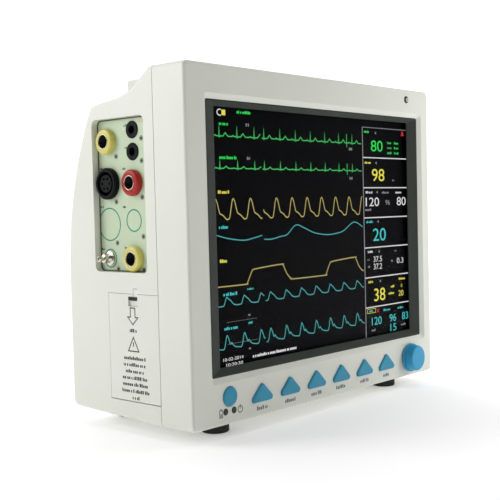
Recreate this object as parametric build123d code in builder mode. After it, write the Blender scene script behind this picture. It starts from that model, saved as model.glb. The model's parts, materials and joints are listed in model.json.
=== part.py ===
from build123d import *
import os
from math import atan2, cos, radians, tan

# Bedside patient monitor with a 12.1 inch screen. Millimetres.
# +X is the right-hand side seen from the front, -Y is the front, +Z is up.
# z = 0 is the surface under the feet. x = 0 and y = 0 are the middle of the
# whole outline, knob, cuff port and rear stud included.

# --- Driving dimensions -------------------------------------------------------
case_w = 314.0          # outside width of the casing
case_h = 259.7          # outside height of the casing, without feet
case_d = 136.5          # outside depth of the casing
foot_h = 9.5            # casing's underside above the table
left = -155.2           # left side of the casing
front = -70.0           # front face of the casing
bezel_d = 33.0          # depth of the front half, up to the seam
wall = 3.0              # moulded wall
corner_r = 4.0          # rounding of the casing's long corners
edge_r = 2.2            # rounding of the front face's edge
draft = 2.0             # rise of the underside towards the back, degrees
seam_groove = 0.7       # width and depth of the groove between the two halves

right = left + case_w
back = front + case_d
seam = front + bezel_d
base = foot_h
top = base + case_h
mid_x = left + case_w / 2
mid_z = base + case_h / 2

gap = 0.3               # gap between pieces that move past each other
snug = 0.05             # radial running clearance of a pin in its hole

# Screen: a dark sloping frame in a chamfered window.
screen_x = left + 160.75
screen_z = base + 135.5
screen_w = 252.9        # clear opening over the glass
screen_h = 189.6
frame_x = left + 160.35
frame_z = base + 134.8
frame_w = 275.9         # outside of the dark frame
frame_h = 199.8
window_chamfer = 4.0
window_sink = 2.5
frame_r = 1.5           # corners of the dark frame
glass_y = front + 6.8
glass_t = 2.0

# Front controls.
key_x0 = left + 72.5    # first of six triangular keys
key_pitch = 33.15
key_count = 6
key_w = 22.0
key_h = 13.5
key_z = base + 11.0     # lower edge of the keys
key_r = 2.5
key_proud = 1.8
power_x = left + 37.5
power_z = base + 20.4
power_r = 7.2
power_proud = 1.5
led_x = (left + 32.7, left + 41.6)
led_z = base + 9.8
led_r = 2.5
knob_x = left + 276.0
knob_z = base + 16.8
knob_r = 12.7
knob_len = 9.0
shaft_r = 3.0
alarm_x = left + 278.1
alarm_z = base + 250.3
alarm_r = 3.2

# Connector recess in the left side.
recess_y = (front + 43.3, front + 102.0)
recess_z = (base + 111.0, base + 225.5)
recess_depth = 5.8
recess_r = 4.5
panel_t = 2.0
panel_x = left + recess_depth

# Battery door in the left side.
door_y = (seam, front + 88.0)
door_z = (base + 15.0, base + 95.5)
door_t = 2.5
door_axis_x = left + door_t / 2
door_axis_z = door_z[0] + gap + door_t / 2
latch_y = front + 60.3
latch_z = base + 91.9
latch_travel = 4.0

# Recorder in the right side.
rec_y = (front + 44.0, front + 120.0)
rec_z = (base + 88.0, base + 168.0)
rec_depth = 62.0
rec_door_t = 3.0
platen_r = 5.0
roll_r = 19.0

# Carry handle, folded back over the scooped top.
grip_w = 264.0
arm_w = 9.0
arm_t = 8.0
pivot_y = front + 55.5
pivot_z = base + 252.2
handle_reach = 38.0
pin_r = 2.5

# Underside and rear panel.
foot_r = 10.4
foot_xy = [(left + x, front + y) for x in (44.5, 266.5) for y in (22.5, 118.0)]
insert_pitch = 75.0
insert_r = 1.65
insert_len = 8.0
insert_y = front + 85.0
inlet_x = left + 62.0
inlet_z = base + 37.0
stud_x = left + 112.0
stud_z = base + 30.0
stud_r = 3.0
stud_len = 11.0
network_x = left + 145.0
network_z = base + 30.0

os.makedirs("parts", exist_ok=True)


def facing(y):
    """Plane across the depth: sketch in x and z, extrusion towards the front."""
    return Plane.XZ.offset(-y)


def across(x):
    """Plane across the width: sketch in y and z, extrusion to the right."""
    return Plane.YZ.offset(x)


def level(z):
    """Plane at a height: sketch in x and y, extrusion upwards."""
    return Plane.XY.offset(z)


def save(part, label):
    part.label = label
    export_step(part, f"parts/{label}.step")


def mid(pair):
    return (pair[0] + pair[1]) / 2


def span(pair):
    return pair[1] - pair[0]


def block(x, y, z):
    """Box between three pairs of limits."""
    with Locations((mid(x), mid(y), mid(z))):
        Box(span(x), span(y), span(z), mode=Mode.ADD)


def cut_block(x, y, z):
    with Locations((mid(x), mid(y), mid(z))):
        Box(span(x), span(y), span(z), mode=Mode.SUBTRACT)


def key_outline(x, grow=0.0):
    """Triangle with rounded corners, apex up, grown evenly on all sides."""
    half = key_w / 2 + 3.8
    rise = key_h + 0.9
    base_angle = atan2(rise, half)
    low = key_z - grow
    high = key_z + rise + grow / cos(base_angle)
    half += grow / tan(base_angle / 2)
    with BuildLine() as edge:
        FilletPolyline((x - half, low), (x + half, low), (x, high), radius=key_r + grow, close=True)
    make_face(edge.edges())


rec_axis_x = right - rec_door_t / 2
rec_axis_z = rec_z[0] + gap + rec_door_t / 2
rec_button_y = front + 82.0
rec_button_z = base + 179.0
speaker_y = front + 74.0
speaker_z = base + 46.0
insert_xy = [
    (mid_x + sx * insert_pitch / 2, insert_y + sy * insert_pitch / 2) for sx in (-1, 1) for sy in (-1, 1)
]
key_xs = [key_x0 + i * key_pitch for i in range(key_count)]
post_xz = [(x, z) for x in (left + 11, right - 7) for z in (base + 60, base + 210)]
tower_xz = [(x, z) for x in (left + 12, right - 9) for z in (base + 8.5, base + 232)]

# --- Front bezel --------------------------------------------------------------
with BuildPart() as front_bezel:
    with BuildSketch(facing(front)):
        with Locations((mid_x, mid_z)):
            RectangleRounded(case_w, case_h, corner_r)
    extrude(amount=-bezel_d)
    fillet(front_bezel.faces().sort_by(Axis.Y)[0].edges(), edge_r)
    with BuildSketch(facing(seam)):
        with Locations((mid_x, mid_z)):
            RectangleRounded(case_w - 2 * wall, case_h - 2 * wall, corner_r / 2)
    extrude(amount=bezel_d - wall, mode=Mode.SUBTRACT)
    with BuildSketch(facing(front)):
        with Locations((frame_x, frame_z)):
            RectangleRounded(frame_w + 2 * window_chamfer, frame_h + 2 * window_chamfer, frame_r + 2)
    with BuildSketch(facing(front + window_sink)):
        with Locations((frame_x, frame_z)):
            RectangleRounded(frame_w, frame_h, frame_r)
    loft(mode=Mode.SUBTRACT)
    # Shadow groove round the seam with the rear case.
    with BuildSketch(facing(seam - seam_groove)):
        with Locations((mid_x, mid_z)):
            RectangleRounded(case_w, case_h, corner_r)
            groove_w, groove_h = case_w - 2 * seam_groove, case_h - 2 * seam_groove
            RectangleRounded(groove_w, groove_h, corner_r - seam_groove, mode=Mode.SUBTRACT)
    extrude(amount=-seam_groove, mode=Mode.SUBTRACT)
    with BuildSketch(facing(front)):
        with Locations((frame_x, frame_z)):
            RectangleRounded(frame_w, frame_h, frame_r)
        for x in key_xs:
            key_outline(x, gap)
        with Locations((power_x, power_z)):
            Circle(power_r + gap)
        with Locations(*[(x, led_z) for x in led_x]):
            Circle(led_r + snug)
        with Locations((alarm_x, alarm_z)):
            Circle(alarm_r + snug)
        with Locations((knob_x, knob_z)):
            Circle(5.0)
    extrude(amount=-wall, mode=Mode.SUBTRACT)
    # Posts that hold the screen's bracket.
    with BuildSketch(facing(front + wall)):
        with Locations(*post_xz):
            Circle(4)
    extrude(amount=-15.5)
    with BuildSketch(facing(front + wall + 15.5)):
        with Locations(*post_xz):
            Circle(1.25)
    extrude(amount=12, mode=Mode.SUBTRACT)
    # Bosses for the long case screws, in line with the towers of the rear case.
    with BuildSketch(facing(front + wall)):
        with Locations(*tower_xz):
            Circle(4.5)
    extrude(amount=-(bezel_d - wall))
    with BuildSketch(facing(seam)):
        with Locations(*tower_xz):
            Circle(1.7)
    extrude(amount=14, mode=Mode.SUBTRACT)
    # Blind hole for the front pin of the battery door.
    with BuildSketch(facing(seam)):
        with Locations((door_axis_x, door_axis_z)):
            Circle(0.8 + snug)
    extrude(amount=3, mode=Mode.SUBTRACT)
save(front_bezel.part, "front_bezel")

# --- Rear case ----------------------------------------------------------------
underside_rise = (case_d - bezel_d) * tan(radians(draft))


def side_outline():
    """Side view of the rear case: flat top, scoop for the handle, leaning back."""
    top_line = [
        (seam, top),
        (front + 38.0, top),
        (front + 58.0, base + 244.8),
        (front + 73.0, base + 240.6),
        (front + 103.5, base + 236.8),
        (front + 108.2, base + 229.0),
    ]
    with BuildLine() as edge:
        upper = FilletPolyline(*top_line, radius=[8, 22, 45, 6])
        lean = ThreePointArc(upper @ 1, (front + 128.5, base + 174), (back, base + 104))
        heel = (back, base + underside_rise)
        lower = FilletPolyline(lean @ 1, heel, (seam, base), radius=6)
        Line(lower @ 1, (seam, top))
    make_face(edge.edges())


with BuildPart() as towers:
    # Tubes for the long case screws and pads below, cut to the outer shape.
    with BuildSketch(facing(seam)):
        with Locations(*tower_xz):
            Circle(4.5)
    extrude(amount=-case_d)
    with BuildSketch(across(left)):
        side_outline()
    extrude(amount=case_w, mode=Mode.INTERSECT)

with BuildPart() as rear_case:
    with BuildSketch(across(left)):
        side_outline()
    extrude(amount=case_w)
    rim = []
    for side in (rear_case.faces().sort_by(Axis.X)[0], rear_case.faces().sort_by(Axis.X)[-1]):
        rim += [edge for edge in side.edges() if edge.center().Y > seam + 0.1]
    fillet(rim, corner_r)
    with BuildSketch(across(left + wall)):
        side_outline()
        offset(amount=-wall)
    extrude(amount=case_w - 2 * wall, mode=Mode.SUBTRACT)
    inside_z = (base + wall, top - wall)
    cut_block((left + wall, right - wall), (seam - 1, seam + wall + 1), inside_z)
    add(towers.part)
    # Lip around the connector recess, then the recess itself.
    lip = 2.0
    with BuildSketch(across(left + 1)):
        with Locations((mid(recess_y), mid(recess_z))):
            RectangleRounded(span(recess_y) + 2 * lip, span(recess_z) + 2 * lip, recess_r + lip)
    extrude(amount=recess_depth - 1)
    with BuildSketch(across(left - 1)):
        with Locations((mid(recess_y), mid(recess_z))):
            RectangleRounded(span(recess_y), span(recess_z), recess_r)
    extrude(amount=recess_depth + 2, mode=Mode.SUBTRACT)
    # Battery opening, its latch notch and the hole of the hinge's rear pin.
    cut_block((left - 1, left + wall + 1), (door_y[0] - 1, door_y[1]), door_z)
    cut_block((left - 1, left + wall + 1), (latch_y - 5.1, latch_y - 0.5), (door_z[1] - 1, base + 99.4))
    with BuildSketch(facing(door_y[1])):
        with Locations((door_axis_x, door_axis_z)):
            Circle(0.8 + snug)
    extrude(amount=-3, mode=Mode.SUBTRACT)
    # Recorder opening with its hinge holes and the hole of its release button.
    cut_block((right - wall - 1, right + 1), rec_y, rec_z)
    with BuildSketch(facing(rec_y[0] - 3)):
        with Locations((rec_axis_x, rec_axis_z)):
            Circle(0.9 + snug)
    extrude(amount=-(span(rec_y) + 6), mode=Mode.SUBTRACT)
    with BuildSketch(across(right - wall - 1)):
        with Locations((rec_button_y, rec_button_z)):
            SlotOverall(18 + 2 * gap, 8 + 2 * gap)
    extrude(amount=wall + 2, mode=Mode.SUBTRACT)
    # Rear panel: inlet, earth stud, network port, air slots.
    cut_block((inlet_x - 14, inlet_x + 14), (back - wall - 1, back + 1), (inlet_z - 19, inlet_z + 19))
    with BuildSketch(facing(back - wall - 1)):
        with Locations((stud_x, stud_z)):
            Circle(3.5)
        with Locations((network_x, network_z)):
            Rectangle(16.4, 14.4)
        with Locations(*[(left + 182 + 8 * i, base + 82) for i in range(14)]):
            SlotOverall(38, 3, rotation=90)
    extrude(amount=-(wall + 2), mode=Mode.SUBTRACT)
    # Sound slots in the right side, in front of the speaker.
    with BuildSketch(across(right - wall - 1)):
        with Locations(*[(speaker_y, speaker_z + 6.5 * (i - 2.5)) for i in range(6)]):
            SlotOverall(34, 2.6)
    extrude(amount=wall + 2, mode=Mode.SUBTRACT)
    # Ears of the carry handle.
    for x in (left + 34.3, right - 43.3):
        with BuildSketch(across(x)):
            with Locations((pivot_y, pivot_z)):
                Circle(4.2)
            with Locations((pivot_y, pivot_z - 4)):
                Rectangle(8.4, 8)
        extrude(amount=9)
        with BuildSketch(across(x)):
            with Locations((pivot_y, pivot_z)):
                Circle(pin_r)
        extrude(amount=9, mode=Mode.SUBTRACT)
    # Level pads under the case for the rear feet and the threaded inserts.
    with BuildSketch(level(base)):
        with Locations(*foot_xy[1::2]):
            Circle(11.5)
        with Locations(*insert_xy):
            Circle(7)
    extrude(amount=12)
    with BuildSketch(level(base)):
        with Locations(*foot_xy[1::2]):
            Circle(1.6)
    extrude(amount=10, mode=Mode.SUBTRACT)
    with BuildSketch(level(base)):
        with Locations(*insert_xy):
            Circle(2.8)
    extrude(amount=insert_len, mode=Mode.SUBTRACT)
    # Sockets of the long case screws.
    with BuildSketch(facing(seam + 12)):
        with Locations(*tower_xz):
            Circle(3.4)
    extrude(amount=-case_d, mode=Mode.SUBTRACT)
    with BuildSketch(facing(seam)):
        with Locations(*tower_xz):
            Circle(1.7)
    extrude(amount=-14, mode=Mode.SUBTRACT)
save(rear_case.part, "rear_case")

# --- Screen stack -------------------------------------------------------------
with BuildPart() as display_frame:
    with BuildSketch(facing(front + wall + gap)):
        with Locations((frame_x, frame_z)):
            RectangleRounded(frame_w + 4, frame_h + 4, 4)
    extrude(amount=-(glass_y + glass_t - front - wall - gap))
    with BuildSketch(facing(front + window_sink)):
        with Locations((frame_x, frame_z)):
            RectangleRounded(frame_w - 2 * gap, frame_h - 2 * gap, frame_r - gap)
    extrude(amount=-2)
    with BuildSketch(facing(front + window_sink)):
        with Locations((frame_x, frame_z)):
            RectangleRounded(frame_w - 2.4, frame_h - 2.4, 1)
    with BuildSketch(facing(front + 6.0)):
        with Locations((screen_x, screen_z)):
            RectangleRounded(screen_w, screen_h, 1)
    loft(mode=Mode.SUBTRACT)
    with BuildSketch(facing(front + 5.9)):
        with Locations((screen_x, screen_z)):
            Rectangle(screen_w, screen_h)
    extrude(amount=-4, mode=Mode.SUBTRACT)
    with BuildSketch(facing(glass_y)):
        with Locations((screen_x, screen_z)):
            Rectangle(screen_w + 6, screen_h + 6)
    extrude(amount=-4, mode=Mode.SUBTRACT)
save(display_frame.part, "display_frame")

with BuildPart() as display_window:
    with BuildSketch(facing(glass_y)):
        with Locations((screen_x, screen_z)):
            Rectangle(screen_w + 5.4, screen_h + 5.4)
    extrude(amount=-glass_t)
save(display_window.part, "display_window")

lcd_y = glass_y + glass_t + 0.8
lcd_t = 8.8
with BuildPart() as lcd_panel:
    with BuildSketch(facing(lcd_y)):
        with Locations((screen_x, screen_z)):
            RectangleRounded(275, 202, 1.5)
    extrude(amount=-lcd_t)
    fillet(lcd_panel.faces().sort_by(Axis.Y)[-1].edges(), 0.8)
save(lcd_panel.part, "lcd_panel")

bracket_y = front + wall + 15.5
with BuildPart() as lcd_bracket:
    with BuildSketch(facing(bracket_y)):
        with Locations((mid_x, base + 135)):
            RectangleRounded(298, 166, 5)
            RectangleRounded(210, 110, 8, mode=Mode.SUBTRACT)
        with Locations(*post_xz):
            Circle(1.6, mode=Mode.SUBTRACT)
    extrude(amount=-1.5)
save(lcd_bracket.part, "lcd_bracket")

with BuildPart() as bracket_screws:
    with BuildSketch(facing(bracket_y + 1.5)):
        with Locations(*post_xz):
            Circle(2.8)
    extrude(amount=-2.2)
    with BuildSketch(facing(bracket_y + 1.5)):
        with Locations(*post_xz):
            Circle(1.25)
    extrude(amount=9)
    with BuildSketch(facing(bracket_y + 3.7)):
        with Locations(*post_xz):
            RegularPolygon(1.4, 6)
    extrude(amount=1.2, mode=Mode.SUBTRACT)
save(bracket_screws.part, "bracket_screws")

# --- Keys, indicators and their board -----------------------------------------
mat_y = front + 5.9
board_y = front + 9.0
board_t = 1.6
flange_y = front + wall + gap
for number, x in enumerate(key_xs, start=1):
    with BuildPart() as key:
        with BuildSketch(facing(front - key_proud)):
            key_outline(x)
        extrude(amount=-(key_proud + wall + 1))
        fillet(key.faces().sort_by(Axis.Y)[0].edges(), 1.1)
        with BuildSketch(facing(flange_y)):
            key_outline(x, 1.5)
        extrude(amount=-1)
    save(key.part, f"key_{number}")

with BuildPart() as power_button:
    with BuildSketch(facing(front - power_proud)):
        with Locations((power_x, power_z)):
            Circle(power_r)
    extrude(amount=-(power_proud + wall + 1))
    fillet(power_button.faces().sort_by(Axis.Y)[0].edges(), 1.4)
    with BuildSketch(facing(flange_y)):
        with Locations((power_x, power_z)):
            Circle(power_r + 1.5)
    extrude(amount=-1)
save(power_button.part, "power_button")

mat_x = (left + 26.0, left + 256.0)
mat_z = (base + 5.5, base + 30.5)
with BuildPart() as key_mat:
    block(mat_x, (mat_y, mat_y + 1.2), mat_z)
    with BuildSketch(facing(mat_y)):
        with Locations(*[(x, led_z) for x in led_x]):
            Circle(3.0)
    extrude(amount=-2, mode=Mode.SUBTRACT)
save(key_mat.part, "key_mat")

encoder_x = (knob_x - 7, knob_x + 7)
encoder_z = (knob_z - 7, knob_z + 7)
encoder_y = (board_y + board_t, board_y + board_t + 8)
with BuildPart() as key_board:
    block((left + 24, left + 294), (board_y, board_y + board_t), (base + 4.5, base + 31.5))
    with BuildSketch(facing(board_y)):
        with Locations((knob_x, knob_z)):
            Circle(4.8)
    extrude(amount=-board_t, mode=Mode.SUBTRACT)
save(key_board.part, "key_board")

with BuildPart() as key_switches:
    switch_xz = [(x, key_z + 6) for x in key_xs] + [(power_x, power_z)]
    with BuildSketch(facing(board_y)):
        with Locations(*switch_xz):
            Rectangle(5, 5)
    extrude(amount=1.5)
save(key_switches.part, "key_switches")

with BuildPart() as status_lights:
    with BuildSketch(facing(front - 0.4)):
        with Locations(*[(x, led_z) for x in led_x]):
            Circle(led_r)
    extrude(amount=-(board_y - front + 0.4))
    fillet(status_lights.faces().group_by(Axis.Y)[0].edges(), 0.4)
save(status_lights.part, "status_lights")

with BuildPart() as alarm_lens:
    with BuildSketch(facing(front - 0.5)):
        with Locations((alarm_x, alarm_z)):
            Circle(alarm_r)
    extrude(amount=-(wall + 0.5))
    fillet(alarm_lens.faces().sort_by(Axis.Y)[0].edges(), 0.5)
    with BuildSketch(facing(front + wall)):
        with Locations((alarm_x, alarm_z - 0.3)):
            Circle(alarm_r)
    extrude(amount=-2)
save(alarm_lens.part, "alarm_lens")

with BuildPart() as encoder_body:
    block(encoder_x, encoder_y, encoder_z)
    with BuildSketch(facing(encoder_y[0])):
        with Locations((knob_x, knob_z)):
            Circle(4.5)
    extrude(amount=encoder_y[0] - front - 0.6)
    with BuildSketch(facing(front)):
        with Locations((knob_x, knob_z)):
            Circle(shaft_r + snug)
    extrude(amount=-(encoder_y[0] - front + 2), mode=Mode.SUBTRACT)
    with BuildSketch(facing(encoder_y[0] + 1.5)):
        with Locations((knob_x, knob_z)):
            Circle(5.0)
    extrude(amount=-5, mode=Mode.SUBTRACT)
save(encoder_body.part, "encoder_body")

# The plunger lies behind the shaft's end and moves in when the knob is pressed.
plunger_y = encoder_y[0] + 3.2
with BuildPart() as encoder_plunger:
    with BuildSketch(facing(plunger_y)):
        with Locations((knob_x, knob_z)):
            Circle(4.7)
    extrude(amount=-2)
save(encoder_plunger.part, "encoder_plunger")

with BuildPart() as encoder_shaft:
    with BuildSketch(facing(front - knob_len + 3)):
        with Locations((knob_x, knob_z)):
            Circle(shaft_r)
    extrude(amount=-(plunger_y - 0.05 - front + knob_len - 3))
save(encoder_shaft.part, "encoder_shaft")

knob_back = front - 1.0
with BuildPart() as knob:
    with BuildSketch(facing(knob_back)):
        with Locations((knob_x, knob_z)):
            Circle(knob_r)
    extrude(amount=2.0)
    with BuildSketch(facing(knob_back - 2)):
        with Locations((knob_x, knob_z)):
            Circle(knob_r - 0.9)
    extrude(amount=knob_len - 2, taper=5)
    fillet(knob.faces().sort_by(Axis.Y)[0].edges(), 1.5)
    with BuildSketch(facing(knob_back)):
        with Locations((knob_x, knob_z)):
            Circle(shaft_r)
    extrude(amount=knob_len - 4, mode=Mode.SUBTRACT)
save(knob.part, "knob")

# --- Connector panel and its sockets ------------------------------------------
ecg_yz = (front + 89.7, base + 177.3)
ecg_proud = 4.4
cuff_yz = (front + 90.7, base + 120.9)
round_sockets = {
    "oxygen_socket": (front + 90.5, base + 208.9, 9.7, 5.2, 4.7),
    "pressure_socket": (front + 61.9, base + 177.1, 9.8, 5.0, 4.8),
    "output_socket": (front + 62.7, base + 121.0, 9.6, 5.2, 4.7),
}
with BuildPart() as connector_panel:
    with BuildSketch(across(panel_x)):
        with Locations((mid(recess_y), mid(recess_z))):
            RectangleRounded(span(recess_y) + 3, span(recess_z) + 3, recess_r + 1.5)
    extrude(amount=panel_t)
    with BuildSketch(across(panel_x)):
        with Locations(*[row[:2] for row in round_sockets.values()]):
            Circle(7.5)
        with Locations((front + 62, base + 216.1), (front + 62, base + 200)):
            Circle(5.0)
        with Locations(ecg_yz):
            Circle(9.5)
        with Locations(cuff_yz):
            Circle(3.0)
    extrude(amount=panel_t, mode=Mode.SUBTRACT)
save(connector_panel.part, "connector_panel")


def socket(y, z, r, hole_r, proud, neck_r, rim):
    """Round socket: a rounded collar on the panel and a neck through it."""
    with BuildPart() as shell:
        with BuildSketch(across(panel_x)):
            with Locations((y, z)):
                Circle(r)
        extrude(amount=-proud)
        fillet(shell.faces().sort_by(Axis.X)[0].edges(), rim)
        with BuildSketch(across(panel_x)):
            with Locations((y, z)):
                Circle(neck_r)
        extrude(amount=panel_t + 12)
        with BuildSketch(across(panel_x - proud)):
            with Locations((y, z)):
                Circle(hole_r)
        extrude(amount=proud + panel_t + 10, mode=Mode.SUBTRACT)
    return shell.part


for name, row in round_sockets.items():
    save(socket(*row, neck_r=7.4, rim=2.2), name)
jacks = [socket(front + 62.0, z, 6.5, 3.2, 0.8, 4.9, 0.5) for z in (base + 200.0, base + 216.1)]
save(Compound(children=jacks), "temperature_jacks")

with BuildPart() as ecg_socket:
    with BuildSketch(across(panel_x)):
        with Locations(ecg_yz):
            Circle(11.9)
    extrude(amount=-ecg_proud)
    chamfer(ecg_socket.faces().sort_by(Axis.X)[0].edges(), 1.2)
    with BuildSketch(across(panel_x)):
        with Locations(ecg_yz):
            Circle(9.4)
    extrude(amount=panel_t + 12)
    with BuildSketch(across(panel_x - ecg_proud)):
        with Locations(ecg_yz):
            Circle(9.2)
            Circle(6.6, mode=Mode.SUBTRACT)
    extrude(amount=7, mode=Mode.SUBTRACT)
    with BuildSketch(across(panel_x - ecg_proud)):
        with Locations(ecg_yz):
            Circle(6.7)
    extrude(amount=0.8, mode=Mode.SUBTRACT)
    with BuildSketch(across(panel_x - ecg_proud)):
        with Locations(ecg_yz):
            with PolarLocations(4.2, 6):
                Circle(1.0)
    extrude(amount=3, mode=Mode.SUBTRACT)
save(ecg_socket.part, "ecg_socket")

with BuildPart() as socket_contacts:
    with BuildSketch(across(panel_x + panel_t + 5.5)):
        for row in round_sockets.values():
            with Locations(row[:2]):
                with PolarLocations(2.6, 5):
                    Circle(0.6)
    extrude(amount=4.5)
save(socket_contacts.part, "socket_contacts")

nozzle = [(0, 5.2), (-1.4, 5.2), (-1.8, 3.4), (-3.6, 1.9), (-4.8, 1.9), (-5.2, 3.1), (-7.2, 3.1)]
nozzle += [(-7.8, 1.5), (-9.2, 1.5), (-9.9, 2.3), (-11.5, 2.3), (-12.2, 1.4)]
with BuildPart() as cuff_port:
    with BuildSketch(Plane(origin=(panel_x, cuff_yz[0], cuff_yz[1]))):
        with BuildLine():
            Polyline(*nozzle, (-12.2, 0), (14, 0), (14, 2.9), (0, 2.9), (0, 5.2))
        make_face()
    revolve(axis=Axis((0, cuff_yz[0], cuff_yz[1]), (1, 0, 0)))
    with BuildSketch(across(left - 10)):
        with Locations(cuff_yz):
            Circle(0.9)
    extrude(amount=40, mode=Mode.SUBTRACT)
save(cuff_port.part, "cuff_port")

# --- Battery door, latch and bay ----------------------------------------------
with BuildPart() as battery_door:
    flat_y = (door_y[0] + 0.05, door_y[1] - gap)
    block((left, left + door_t), flat_y, (door_axis_z, door_z[1] - gap))
    with BuildSketch(facing(flat_y[0])):
        with Locations((door_axis_x, door_axis_z)):
            Circle(door_t / 2)
    extrude(amount=-span(flat_y))
    with BuildSketch(facing(door_y[0] - 2.6)):
        with Locations((door_axis_x, door_axis_z)):
            Circle(0.8)
    extrude(amount=-(span(door_y) + 5.2))
    # Slot that the latch's finger bar slides in, and a pocket behind its lower end for the apron.
    slot_z = (latch_z - 1.5 - latch_travel - gap, latch_z + 1.5 + 0.1)
    slot_y = (latch_y - 5.2, latch_y + 5.2)
    cut_block((left - 1, left + 4), slot_y, slot_z)
    cut_block((left + 1.3, left + 4), slot_y, (slot_z[0] - latch_travel - 0.5, slot_z[1]))
    cut_block((left - 1, left + 4), (latch_y - 5.1, latch_y - 0.5), (latch_z, door_z[1]))
    # Two rails behind the slot guide the latch's back plate.
    for y in (latch_y - 8.6, latch_y + 7.2):
        block((left + door_t, left + door_t + 1.6), (y, y + 1.4), (latch_z - 11, door_z[1] - 1.2))
save(battery_door.part, "battery_door")

with BuildPart() as battery_latch:
    # Finger bar, tongue, the apron that closes the slot below the bar, and the plate behind the door.
    block((left + 0.2, left + door_t + 0.6), (latch_y - 5, latch_y + 5), (latch_z - 1.5, latch_z + 1.5))
    block((left + 0.2, left + door_t + 0.6), (latch_y - 4.9, latch_y - 0.7), (latch_z, base + 99.1))
    block((left + 1.5, left + door_t + 0.6), (latch_y - 5, latch_y + 5), (latch_z - 6.1, latch_z - 1.5))
    plate_z = (latch_z - 6.1, latch_z + 1.8)
    block((left + door_t + 0.2, left + door_t + 1.4), (latch_y - 6.9, latch_y + 6.9), plate_z)
save(battery_latch.part, "battery_latch")

bay_x = (left + wall + 2.6, left + 158.0)
bay_y = (front + 34.6, front + 87.4)
bay_z = (base + 16.4, base + 95.0)
bay_wall = 1.6
with BuildPart() as battery_bay:
    block(bay_x, bay_y, bay_z)
    inner_y = (bay_y[0] + bay_wall, bay_y[1] - bay_wall)
    inner_z = (bay_z[0] + bay_wall, bay_z[1] - bay_wall)
    cut_block((bay_x[0] - 1, bay_x[1] - bay_wall), inner_y, inner_z)
save(battery_bay.part, "battery_bay")

pack_x = (bay_x[0] + 2.4, bay_x[1] - bay_wall - 3.0)
with BuildPart() as battery_pack:
    block(pack_x, (inner_y[0] + 0.5, inner_y[1] - 0.5), (inner_z[0], inner_z[1] - 1.2))
    fillet(battery_pack.edges().filter_by(Axis.X), 2.5)
    chamfer(battery_pack.faces().sort_by(Axis.X)[-1].edges(), 0.8)
save(battery_pack.part, "battery_pack")

with BuildPart() as battery_contacts:
    with Locations(*[(pack_x[1] + 1.5, mid(bay_y) + 9 * i, mid(bay_z)) for i in (-1, 0, 1)]):
        Box(3.0, 3.5, 14)
save(battery_contacts.part, "battery_contacts")

# --- Boards and air system inside ---------------------------------------------
plate_y = front + 25.0
with BuildPart() as chassis_plate:
    block((left + 18, right - 18), (plate_y, plate_y + 1.5), (base + 36, base + 228))
    with BuildSketch(facing(plate_y)):
        with Locations((left + 90, base + 70), (right - 70, base + 70), (left + 90, base + 190)):
            RectangleRounded(60, 30, 6)
    extrude(amount=-1.5, mode=Mode.SUBTRACT)
    # Folded feet that meet the screen's bracket.
    for x in (left + 24, right - 36):
        for z in (base + 70, base + 196):
            block((x, x + 12), (bracket_y + 1.5, plate_y), (z, z + 1.5))
save(chassis_plate.part, "chassis_plate")

main_y = plate_y + 6.5
with BuildPart() as main_board:
    block((left + 60, right - 75), (main_y, main_y + 1.6), (base + 112, base + 226))
    for x in (left + 66, right - 81):
        for z in (base + 118, base + 220):
            with BuildSketch(facing(main_y)):
                with Locations((x, z)):
                    Circle(2.8)
            extrude(amount=main_y - plate_y - 1.5)
    chip_y = main_y + 1.6
    block((left + 100, left + 130), (chip_y, chip_y + 3), (base + 160, base + 190))
    block((left + 150, left + 172), (chip_y, chip_y + 2.4), (base + 150, base + 166))
    block((left + 184, left + 228), (chip_y, chip_y + 6), (base + 206, base + 214))
save(main_board.part, "main_board")

with BuildPart() as power_supply:
    supply_x = (left + 172, left + 282)
    supply_y = (front + 42.0, front + 118.0)
    block(supply_x, supply_y, (base + 17, base + 18.6))
    block((supply_x[0], supply_x[0] + 1.6), supply_y, (base + 17, base + 50))
    block((supply_x[1] - 1.6, supply_x[1]), supply_y, (base + 17, base + 50))
    block((left + 200, left + 236), (front + 58, front + 92), (base + 18.6, base + 48))
    for y in (front + 60, front + 84):
        with BuildSketch(level(base + 18.6)):
            with Locations((left + 256, y)):
                Circle(8)
        extrude(amount=30)
save(power_supply.part, "power_supply")

board_x = panel_x + panel_t + 14.0
with BuildPart() as measuring_board:
    block((board_x, board_x + 1.6), (recess_y[0] - 2, recess_y[1] + 2), (base + 112, base + 222))
    block((board_x + 1.6, board_x + 8), (front + 56, front + 92), (base + 160, base + 200))
    with BuildSketch(across(board_x)):
        with Locations(cuff_yz):
            Circle(4.4)
    extrude(amount=1.6, mode=Mode.SUBTRACT)
save(measuring_board.part, "measuring_board")

pump_x = (left + 84.0, left + 142.0)
pump_yz = (front + 84.0, base + 136.0)
pump_r = 13.5
with BuildPart() as air_pump:
    with BuildSketch(across(pump_x[0])):
        with Locations(pump_yz):
            Circle(pump_r)
    extrude(amount=span(pump_x))
    chamfer(air_pump.faces().sort_by(Axis.X)[-1].edges(), 2)
    with BuildSketch(across(pump_x[0])):
        with Locations(pump_yz):
            RectangleRounded(30, 30, 5)
    extrude(amount=18)
    with BuildSketch(across(pump_x[0])):
        with Locations(pump_yz):
            Circle(2.5)
    extrude(amount=-8)
save(air_pump.part, "air_pump")

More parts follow.
